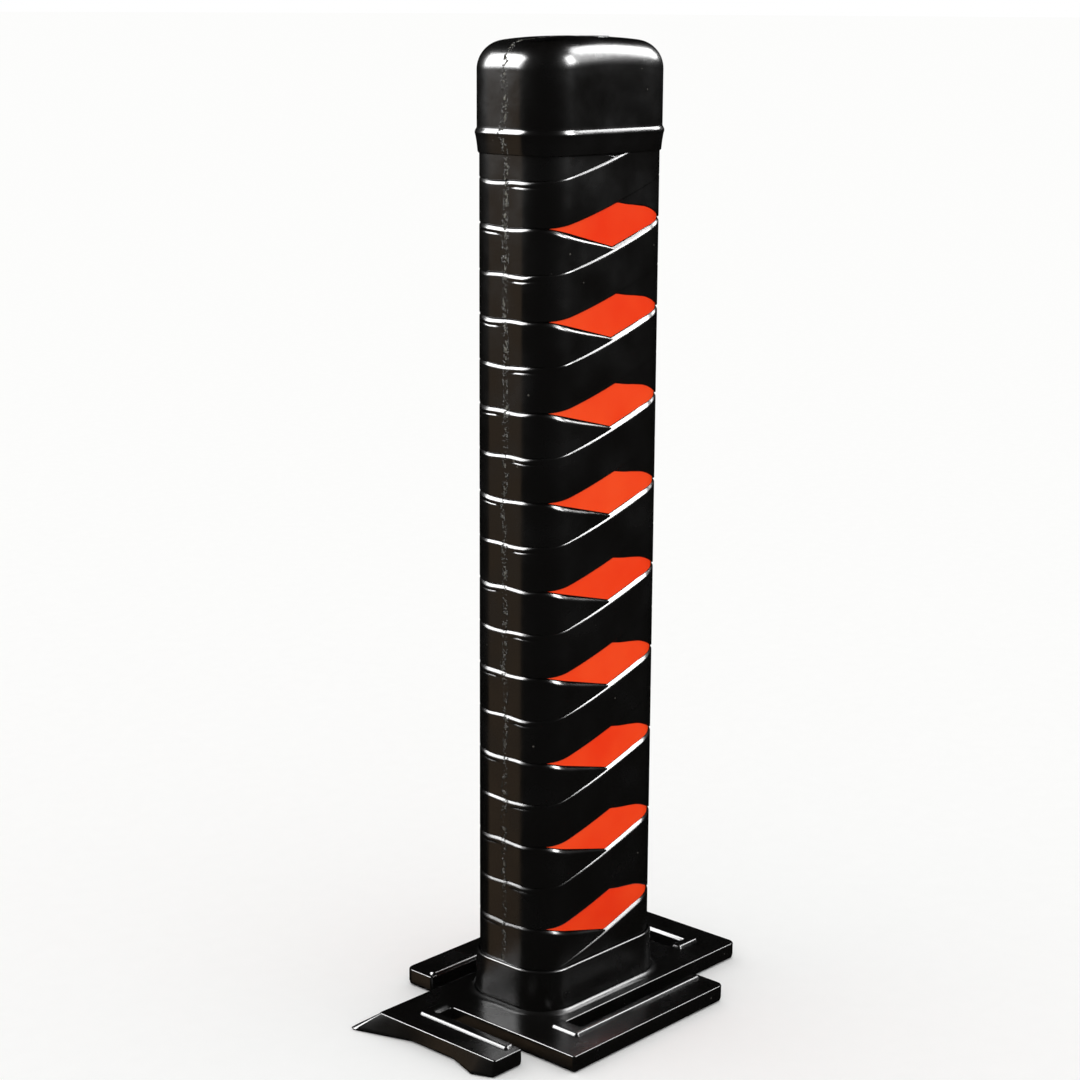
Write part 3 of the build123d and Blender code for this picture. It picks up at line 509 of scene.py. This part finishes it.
def ring_point(angle, grow, z):
    """Even steps round a rounded rectangle; a full turn of angle goes once round."""
    corner = CORNER + grow
    length = 4 * (FLAT_X + FLAT_Y) + 2 * math.pi * corner
    s = (angle / (2 * math.pi)) % 1.0 * length
    runs = [(FLAT_Y, "line", (HALF_X + grow, 0), (0, 1))]
    runs += [(corner * math.pi / 2, "arc", (FLAT_X, FLAT_Y), 0)]
    runs += [(2 * FLAT_X, "line", (FLAT_X, HALF_Y + grow), (-1, 0))]
    runs += [(corner * math.pi / 2, "arc", (-FLAT_X, FLAT_Y), 90)]
    runs += [(2 * FLAT_Y, "line", (-HALF_X - grow, FLAT_Y), (0, -1))]
    runs += [(corner * math.pi / 2, "arc", (-FLAT_X, -FLAT_Y), 180)]
    runs += [(2 * FLAT_X, "line", (-FLAT_X, -HALF_Y - grow), (1, 0))]
    runs += [(corner * math.pi / 2, "arc", (FLAT_X, -FLAT_Y), 270)]
    runs += [(FLAT_Y, "line", (HALF_X + grow, -FLAT_Y), (0, 1))]
    for run, kind, start, way in runs:
        if s <= run + 1e-9:
            break
        s -= run
    if kind == "line":
        return Vector((start[0] + way[0] * s, start[1] + way[1] * s, z))
    turn = math.radians(way) + s / corner
    return Vector((start[0] + corner * math.cos(turn), start[1] + corner * math.sin(turn), z))


def join_rings(bm, rings):
    """Lay quads between neighbouring rings, vertex to vertex, so that flat rings can't twist."""
    for (lower, _), (upper, _) in zip(rings, rings[1:]):
        for i in range(len(lower)):
            bm.faces.new((lower[i - 1], lower[i], upper[i], upper[i - 1]))


def stacked_rings(bm, profile):
    """Join rings, each given as (grow, height), into one wall."""
    rings = [section_ring(bm, grow, z) for grow, z in profile]
    join_rings(bm, rings)
    return rings


print(f"the outline is {(4 * (FLAT_X + FLAT_Y) + 2 * math.pi * CORNER) * 1000:.0f} mm round")

# %% [markdown]
# The roof is gently crowned, so that rain runs off, and falls away in a soft edge that starts
# slowly and ends steep. Its rings follow both at once. Towards the middle they turn from the
# post's outline into the circle of the keyhole's shutter.

# %% Shape the cap
CROWN_R = 668 * MM                       # radius of the crown
EDGE_IN, EDGE_DOWN = 27 * MM, 25 * MM    # how far the soft edge reaches in and down
DOME = 2.5 * MM                          # the dome's sides stand out from the post by this


def roof_height(point):
    """Height of the gently crowned roof above a point of the plan."""
    return cap_high.z - (point.x ** 2 + point.y ** 2) / (2 * CROWN_R)


def roof_ring(bm, inset):
    """A ring that follows the crown, lower the nearer it is to the cap's edge."""
    verts, edges = section_ring(bm, DOME - inset, 0)
    fall = 1 - min(inset / EDGE_IN, 1.0)
    for vert in verts:
        vert.co.z = roof_height(vert.co) - EDGE_DOWN * (1 - math.sqrt(1 - fall ** 2.2))
    return verts, edges


def round_ring(bm, ring, centre, radius, z=None, share=1.0):
    """A ring part of the way from another ring to a circle; on the crown unless z is given."""
    made = bmesh.ops.create_circle(bm, segments=len(ring[0]), radius=radius, cap_ends=False)
    verts = made["verts"]
    for vert, outer in zip(verts, ring[0]):
        angle = math.atan2(outer.co.y - centre.y, outer.co.x - centre.x)
        target = centre + Vector((math.cos(angle), math.sin(angle))) * radius
        vert.co = outer.co.lerp(Vector((target.x, target.y, 0)), share)
        vert.co.z = roof_height(vert.co) if z is None else z
    edges = list({edge for vert in verts for edge in vert.link_edges})
    return verts, edges


print(f"the roof falls {(cap_high.z - roof_height(Vector((FLAT_X, 0, 0)))) * 1000:.1f} mm to its edge")

# %% [markdown]
# The cap is built as one closed wall: up the outside over the lip and the dome, into the shutter's
# seat and the bore of the lock, and back down the hollow inside to the first ring again. A closed
# wall has a true thickness, and the shutter and the lock sit in real recesses.

# %% Build the cap
SEAT_GAP = 0.4 * MM         # round the shutter
BORE_R = 7.6 * MM           # round the lock's barrel
ROOF_T = 9.9 * MM
ROOF_STEPS = 16
bm = bmesh.new()
skirt_z = cap_low.z
# the skirt, the proud lip and the dome's straight sides, as (growth, height) in millimetres
outside = [(0.3, 0.4), (0.8, 0), (1.6, 1), (2.6, 10), (3.6, 16), (4.3, 18.6), (4.5, 19.6)]
outside += [(4.3, 20.8), (3.7, 22.2), (2.9, 23.6), (2.5, 24.4), (2.5, 27), (2.5, 45)]
rings = [section_ring(bm, grow * MM, skirt_z + up * MM) for grow, up in outside]
for step in range(ROOF_STEPS + 1):
    rings.append(roof_ring(bm, EDGE_IN * (1 - math.cos(step / ROOF_STEPS * math.pi / 2))))
shutter_low, shutter_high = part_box("keyhole_shutter")
barrel_low, barrel_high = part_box("lock_barrel")
seat = ((shutter_low + shutter_high) / 2).xy
bore = ((barrel_low + barrel_high) / 2).xy
seat_r = (shutter_high.x - shutter_low.x) / 2 + SEAT_GAP
roof_edge = rings[-1]
rings += [round_ring(bm, roof_edge, seat, seat_r, share=share) for share in (0.25, 0.5, 0.75, 1.0)]
floor_z = barrel_high.z - 0.05 * MM
rings.append(round_ring(bm, roof_edge, seat, seat_r, z=floor_z))
rings.append(round_ring(bm, roof_edge, bore, BORE_R, z=floor_z))
rings.append(round_ring(bm, roof_edge, bore, BORE_R, z=cap_high.z - ROOF_T))
gasket_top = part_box("cap_gasket")[1].z
inside = [(-27, -9.9), (-14, -22), (-8, -32), (-6, -40)]
rings += [section_ring(bm, grow * MM, cap_high.z + down * MM) for grow, down in inside]
rings += [section_ring(bm, grow * MM, z) for grow, z in ((-6, gasket_top), (0.3, gasket_top))]
rings.append(rings[0])
join_rings(bm, rings)
mesh_piece("domed_cap", bm, black_seamed, "post", "cap")

# %% [markdown]
# ## Ground plate
# The plate is one flat moulding. Four arms bend round its middle like a pinwheel, and the open
# slots between take anchor bolts. A raised rim runs along the arm's side of each slot. The plan is
# an outline of a few corners, because both halves are alike after half a turn. A bevel would round
# every corner alike, but the arms' ends are blunter than the rest, so each corner is rounded on its
# own, and stacked rings give the slab its soft edges.

# %% Plan outline
SLOT = 21.5 * MM
ARM = 40 * MM
BODY_X, BODY_Y = plate_high.x - ARM - SLOT, plate_high.y - ARM - SLOT
LONG_END, LONG_SLOT = 102 * MM, -85 * MM         # outer and inner end of the long arms' slots
SHORT_END, SHORT_SLOT = -89 * MM, 32 * MM        # and of the short arms' slots
FLARE, FRONT_FLARE, WAIST = 24 * MM, 12 * MM, 30 * MM    # how the left arm's foot spreads
SOFT = 9 * MM                                    # radius of the blunt corners
CRISP = 3 * MM                                   # and of the others
arm_y, arm_x = BODY_Y + SLOT, BODY_X + SLOT
half_plan = [(-BODY_X, -arm_y - ARM), (LONG_END, -arm_y - ARM), (LONG_END, -arm_y)]
half_plan += [(LONG_SLOT, -arm_y), (LONG_SLOT, -BODY_Y), (arm_x + ARM, -BODY_Y)]
half_plan += [(arm_x + ARM, -WAIST), (arm_x + ARM, WAIST), (arm_x + ARM, -SHORT_END - FLARE)]
half_plan += [(arm_x + ARM, -SHORT_END), (arm_x, -SHORT_END), (arm_x, -SHORT_SLOT)]
half_plan += [(BODY_X, -SHORT_SLOT)]
plan = half_plan + [(-x, -y) for x, y in half_plan]
# the blunt corners: both ends of the right arm, and the long arms' outer ends
soft_corners = {(arm_x + ARM, -BODY_Y), (arm_x + ARM, -SHORT_END)}
soft_corners |= {(LONG_END, -arm_y - ARM), (-LONG_END, arm_y + ARM)}
SHARPEST = 0.2 * MM    # smallest radius of a corner that is drawn in
TURN_STEPS = 4         # edges in a rounded corner


def soft_outline(corners, radius, inset):
    """Round each corner of a plan outline and draw the whole outline in by an even amount."""
    points = []
    count = len(corners)
    for i, here in enumerate(corners):
        here = Vector(here)
        back = (Vector(corners[i - 1]) - here).normalized()
        ahead = (Vector(corners[(i + 1) % count]) - here).normalized()
        if abs(back.cross(ahead)) < 0.01:
            points.append(here - Vector((ahead.y, -ahead.x)) * inset)
            continue
        outer = back.cross(ahead) < 0
        own = SOFT if tuple(corners[i]) in soft_corners else radius
        bend = own - inset if outer else own + inset
        bend = max(bend, SHARPEST)
        inward = (back + ahead) * (1 if outer else -1)
        centre = here + inward * inset + (back + ahead) * bend
        start = math.atan2(-ahead.y, -ahead.x)
        turn = math.pi / 2 if outer else -math.pi / 2
        for step in range(TURN_STEPS + 1):
            angle = start + turn * step / TURN_STEPS
            points.append(centre + Vector((math.cos(angle), math.sin(angle))) * bend)
    return points


def outline_ring(bm, points, z):
    """A closed ring through the points of an outline."""
    verts = [bm.verts.new((point[0], point[1], z)) for point in points]
    edges = [bm.edges.new((verts[i - 1], verts[i])) for i in range(len(verts))]
    return verts, edges


def soft_slab(bm, corners, radius, profile):
    """Stack drawn-in copies of one outline, each given as (inset, height)."""
    rings = [outline_ring(bm, soft_outline(corners, radius, inset), z) for inset, z in profile]
    join_rings(bm, rings)
    return rings


print(f"the plate's plan has {len(plan)} corners")

# %% [markdown]
# The left arm's foot spreads out below, as if the moulding had been pressed wider there. Only its
# lower rings are pushed outwards, so that the top keeps its straight edge. Round the post the plate
# swells by a few millimetres, in a hollow curve that catches one soft line of light. The fill
# operator closes the slab between its outline and the post's opening. It is given the edges of
# both, so it leaves the opening free.

# %% Build the plate
RIB_R = 2 * MM                               # corner radius of a rib
SWELL, SWELL_REACH = 2.8 * MM, 6.5 * MM      # height and width of the swell round the post


def slot_rim(bm, corners, top):
    """A low rounded rib on the plate, in the shape of an outline."""
    rib = [(-2.4, -0.4), (-1.7, 0.5), (-0.9, 1.9), (0.3, 2.7), (1.6, 3)]
    rings = soft_slab(bm, corners, RIB_R, [(inset * MM, top + up * MM) for inset, up in rib])
    for _, edges in (rings[0], rings[-1]):
        bmesh.ops.triangle_fill(bm, edges=edges, use_beauty=True)


bm = bmesh.new()
top = 18 * MM
edge = [(2.5 * MM, 0), (0.8 * MM, 1.2 * MM), (0, 4 * MM), (0, top - 1.6 * MM)]
edge += [(0.25 * MM, top - 0.8 * MM), (0.8 * MM, top - 0.25 * MM), (1.6 * MM, top)]
rings = soft_slab(bm, plan, CRISP, edge)
for verts, _ in rings[:-1]:
    for vert in verts:
        along = vert.co.y
        outer = smooth(-vert.co.x, arm_x + 10 * MM, arm_x + ARM - 6 * MM)
        low = max(1 - vert.co.z / (top - 3 * MM), 0.0)
        back = max(along - WAIST, 0.0) / (BODY_Y - WAIST) if along < BODY_Y + MM else 0
        front = max(-along - WAIST, 0.0) / (-SHORT_END - FLARE - WAIST)
        front = front if front < 1 else max(1 - (front - 1) / 0.45, 0.2)
        vert.co.x -= low * outer * (FLARE * back + FRONT_FLARE * front)
        vert.co.y += low * outer * FLARE * smooth(back, 0.8, 1.0)
hole = 5.35 * MM    # the opening's room round the post
boss = [(hole, 0), (hole, top + SWELL - 0.4 * MM), (hole + 0.4 * MM, top + SWELL)]
for t in (0, 0.15, 0.3, 0.45, 0.6, 0.8, 1):
    boss.append((hole + 0.8 * MM + SWELL_REACH * t, top + SWELL * (1 - t) ** 1.6))
boss_rings = stacked_rings(bm, boss)
for outline, hole_ring in ((rings[-1], boss_rings[-1]), (rings[0], boss_rings[0])):
    bmesh.ops.triangle_fill(bm, edges=outline[1] + hole_ring[1], use_beauty=True)
# each rib is an L: along the arm's side of its slot, a small step off it, and across the slot's end
step_off = 3 * MM
long_out, long_across, long_over = 9.5 * MM, 17 * MM, 2 * MM
short_out, short_across = 12 * MM, 12 * MM
long_rim = [(LONG_SLOT - long_across, -arm_y - long_out), (LONG_END - 7 * MM, -arm_y - long_out)]
long_rim += [(LONG_END - 7 * MM, -arm_y - step_off), (LONG_SLOT - step_off, -arm_y - step_off)]
long_rim += [(LONG_SLOT - step_off, -BODY_Y + long_over)]
long_rim += [(LONG_SLOT - long_across, -BODY_Y + long_over)]
short_rim = [(-arm_x - short_out, SHORT_END + 11 * MM), (-arm_x - step_off, SHORT_END + 11 * MM)]
short_rim += [(-arm_x - step_off, SHORT_SLOT + step_off)]
short_rim += [(-BODY_X - step_off, SHORT_SLOT + step_off)]
short_rim += [(-BODY_X - step_off, SHORT_SLOT + short_across)]
short_rim += [(-arm_x - short_out, SHORT_SLOT + short_across)]
for corners in (long_rim, short_rim):
    slot_rim(bm, corners, top)
    slot_rim(bm, [(-x, -y) for x, y in corners], top)
mesh_piece("pinwheel_plate", bm, black_plain, "ground_unit", "base_plate",
           from_slot="black_plate_plastic")

# %% [markdown]
# ## Collar
# The collar is a close sleeve round the foot of the post. Its upper edge is well rounded, so it
# shows as one thin line of light, and its wall thickens a little towards the plate. It is made of
# the same rings as the cap, which keeps an even gap to the post all the way round.

# %% Build the collar
def arc_profile(centre, radius, start, end, steps):
    """Points (growth, height) along an arc."""
    points = []
    for step in range(steps + 1):
        angle = math.radians(start + (end - start) * step / steps)
        points.append((centre[0] + radius * math.cos(angle), centre[1] + radius * math.sin(angle)))
    return points


reach, foot_reach, inside_reach = 3.7 * MM, 5 * MM, 2 * MM
round_r = 2.6 * MM
collar_top = collar_high.z
bm = bmesh.new()
profile = [(foot_reach, collar_low.z), (foot_reach, 20 * MM), (4.4 * MM, 30 * MM)]
profile += [(reach, collar_top - 8 * MM)]
profile += arc_profile((reach - round_r, collar_top - round_r), round_r, 0, 90, 6)
profile += [(inside_reach, collar_top), (inside_reach, collar_low.z)]
rings = stacked_rings(bm, profile)
join_rings(bm, [rings[-1], rings[0]])
mesh_piece("foot_collar", bm, black_plain, "ground_unit", "collar")

# %% [markdown]
# ## Red reflective sheet
# The diamonds are acrylic retroreflective sheet, pressed over a fine grid of prisms. From any
# distance that reads as a strong, even orange-red with a clear gloss, slightly mottled, and with a
# grid of cells about 2.5 mm wide that only shows close up. Real prisms are finer, so the cells are
# drawn coarser. They come from a nearly regular Voronoi pattern and a very shallow bump.

# %% Red reflective sheet
red_sheet, tree, shader, place = material("acrylic_reflective_sheet")
shader.inputs["IOR"].default_value = 1.49
# mottling about 110 mm across
clouds = add(tree, "TexNoise", Vector=place, Scale=9.0, Detail=3.0)
tone = add(tree, "ValToRGB", Fac=clouds.outputs["Fac"])
tone.color_ramp.elements[0].position = 0.35
tone.color_ramp.elements[0].color = linear("#f83606")
tone.color_ramp.elements[1].position = 0.65
tone.color_ramp.elements[1].color = linear("#ff4a12")
tree.links.new(tone.outputs["Color"], shader.inputs["Base Color"])
cells = add(tree, "TexVoronoi", {"feature": "DISTANCE_TO_EDGE"}, Vector=place, Scale=400.0,
            Randomness=0.15)
prisms = add(tree, "MapRange", Value=cells.outputs["Distance"], _1=0.0, _2=0.08)
pressed = add(tree, "Bump", Strength=0.25, Distance=0.0001, Height=prisms.outputs["Result"])
tree.links.new(pressed.outputs["Normal"], shader.inputs["Normal"])
smear = add(tree, "MapRange", Value=clouds.outputs["Fac"], _3=0.14, _4=0.26)
tree.links.new(smear.outputs["Result"], shader.inputs["Roughness"])
print("reflector finish:", red_sheet.name)


# %% [markdown]
# ## The working parts
# Inside and below the paving everything is plain engineering stock. Metals keep the default IOR
# and differ in how they were finished: zinc freezes in spangles about 8 mm across, ground stainless
# steel has fine lines along its length, here 2 mm wide and 25 mm long, and a sand casting stays
# grainy, in grains drawn 1.5 mm wide. One function serves both metals that follow a noise.

# %% Metals
def steel(name, dark, light, low, high, scale, stretch=(1, 1, 1), relief=0.0):
    """A metal whose colour and roughness follow one noise, stretched along its grain."""
    made, tree, shader, place = material(name)
    shader.inputs["Metallic"].default_value = 1.0
    turned = add(tree, "Mapping", Vector=place, Scale=stretch)
    grain = add(tree, "TexNoise", Vector=turned.outputs["Vector"], Scale=scale, Detail=4.0)
    tone = add(tree, "ValToRGB", Fac=grain.outputs["Fac"])
    tone.color_ramp.elements[0].position = 0.35
    tone.color_ramp.elements[0].color = linear(dark)
    tone.color_ramp.elements[1].position = 0.65
    tone.color_ramp.elements[1].color = linear(light)
    tree.links.new(tone.outputs["Color"], shader.inputs["Base Color"])
    finish = add(tree, "MapRange", Value=grain.outputs["Fac"], _3=low, _4=high)
    tree.links.new(finish.outputs["Result"], shader.inputs["Roughness"])
    if relief:
        rough = add(tree, "Bump", Strength=0.5, Distance=relief, Height=grain.outputs["Fac"])
        tree.links.new(rough.outputs["Normal"], shader.inputs["Normal"])
    return made


# darker and lighter tone, least and most roughness, noise per metre, stretch along the grain, relief
stainless = steel(
    "ground_stainless_steel", "#9a9b9c", "#c4c5c6", 0.22, 0.4, 500, (1, 1, 0.08), 0.00005
)
aluminium = steel("sand_cast_aluminium", "#8f9194", "#b3b5b8", 0.45, 0.6, 700, relief=0.0002)

zinc, tree, shader, place = material("hot_dip_galvanised_steel")
shader.inputs["Metallic"].default_value = 1.0
spangle = add(tree, "TexVoronoi", {"feature": "F1"}, Vector=place, Scale=130.0)
tone = add(tree, "ValToRGB", Fac=spangle.outputs["Color"])
tone.color_ramp.elements[0].color = linear("#85898c")
tone.color_ramp.elements[1].color = linear("#b9bdc0")
tree.links.new(tone.outputs["Color"], shader.inputs["Base Color"])
dull = add(tree, "MapRange", Value=spangle.outputs["Color"], _3=0.35, _4=0.6)
tree.links.new(dull.outputs["Result"], shader.inputs["Roughness"])
print("metals:", stainless.name, aluminium.name, zinc.name)

# %% [markdown]
# Rubber, guide plastic and stoved paint are all dull skins over something darker or paler. They
# differ only in tone, gloss and the size of their texture, so one function makes all three. Their
# real grain is well under a millimetre, and it is drawn 2.5 to 4 mm wide so that it shows.


# %% Paint, rubber and guide plastic
def dull_skin(name, dark, light, low, high, scale, relief, ior):
    """A paint, rubber or plastic with a fine uneven skin."""
    made, tree, shader, place = material(name)
    shader.inputs["IOR"].default_value = ior
    skin = add(tree, "TexNoise", Vector=place, Scale=scale, Detail=4.0)
    tone = add(tree, "ValToRGB", Fac=skin.outputs["Fac"])
    tone.color_ramp.elements[0].color = linear(dark)
    tone.color_ramp.elements[1].color = linear(light)
    tree.links.new(tone.outputs["Color"], shader.inputs["Base Color"])
    sheen = add(tree, "MapRange", Value=skin.outputs["Fac"], _3=low, _4=high)
    tree.links.new(sheen.outputs["Result"], shader.inputs["Roughness"])
    bumps = add(tree, "Bump", Strength=0.4, Distance=relief, Height=skin.outputs["Fac"])
    tree.links.new(bumps.outputs["Normal"], shader.inputs["Normal"])
    return made


rubber = dull_skin("moulded_epdm_rubber", "#141414", "#222221", 0.6, 0.8, 400, 0.0001, 1.52)
acetal = dull_skin("acetal_guide_plastic", "#55585a", "#66696b", 0.4, 0.55, 250, 0.00006, 1.48)
paint = dull_skin("black_stoved_paint", "#161616", "#1e1e1e", 0.25, 0.4, 300, 0.00008, 1.5)
finishes = {
    "black_moulded_plastic": black_plain,
    "black_plate_plastic": black_plain,
    "red_reflective_sheet": red_sheet,
    "black_rubber": rubber,
    "galvanised_steel": zinc,
    "stainless_steel": stainless,
    "grey_guide_plastic": acetal,
    "cast_aluminium": aluminium,
    "black_painted_steel": paint,
}
print("dull skins:", rubber.name, acetal.name, paint.name)

# %% [markdown]
# Each engineering part names its material slot in the record, so one loop dresses them all.

# %% Dress the engineering parts
for row in frame["record"]["subparts"]:
    part = frame["nodes"][row["node"]]
    part.data.materials.clear()
    part.data.materials.append(finishes[row["material_slot"]])

# %% [markdown]
# ## Light
# Black gloss shows only what it mirrors, so the room gives an even pale light that glossy surfaces
# don't see, and softboxes that only they see. Each softbox stands where one kind of facet mirrors
# it: the falling bands, the rising bands, and the bands of the narrow side. A dim warm card gives
# the narrow side its brownish sheen.

# %% Room and softboxes
world = bpy.data.worlds.new("pale_room")
bpy.context.scene.world = world
world.use_nodes = True
world.node_tree.nodes["Background"].inputs["Color"].default_value = (1, 1, 1, 1)
world.node_tree.nodes["Background"].inputs["Strength"].default_value = 1.0
world.cycles_visibility.glossy = False
bpy.context.scene.view_settings.view_transform = "Standard"


def softbox(name, place, target, size, power, colour="#ffffff"):
    """A rectangular light that faces a point and shows only in gloss."""
    data = bpy.data.lights.new(name, "AREA")
    data.shape = "RECTANGLE"
    data.size, data.size_y = size
    data.energy = power
    data.color = linear(colour)[:3]
    lamp = bpy.data.objects.new(name, data)
    bpy.context.collection.objects.link(lamp)
    lamp.visible_diffuse = False
    lamp.location = place
    lamp.rotation_euler = (Vector(target) - Vector(place)).to_track_quat("-Z", "Y").to_euler()
    return lamp


POST_MIDDLE = (0, 0, 0.5)
softbox("falling_band_softbox", (2.13, -0.72, 2.4), POST_MIDDLE, (1.1, 1.5), 115)
softbox("rising_band_softbox", (1.2, -2.1, 2.3), POST_MIDDLE, (1.1, 1.3), 200)
softbox("narrow_side_softbox", (-1.6, 1.9, 2.1), POST_MIDDLE, (1.4, 1.7), 230)
softbox("warm_card", (-2.2, 2.0, -0.2), POST_MIDDLE, (0.8, 2.4), 2.5, "#ffd9b0")
print("three softboxes and a warm card placed")

# %% The finished scene's box
low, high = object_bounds()
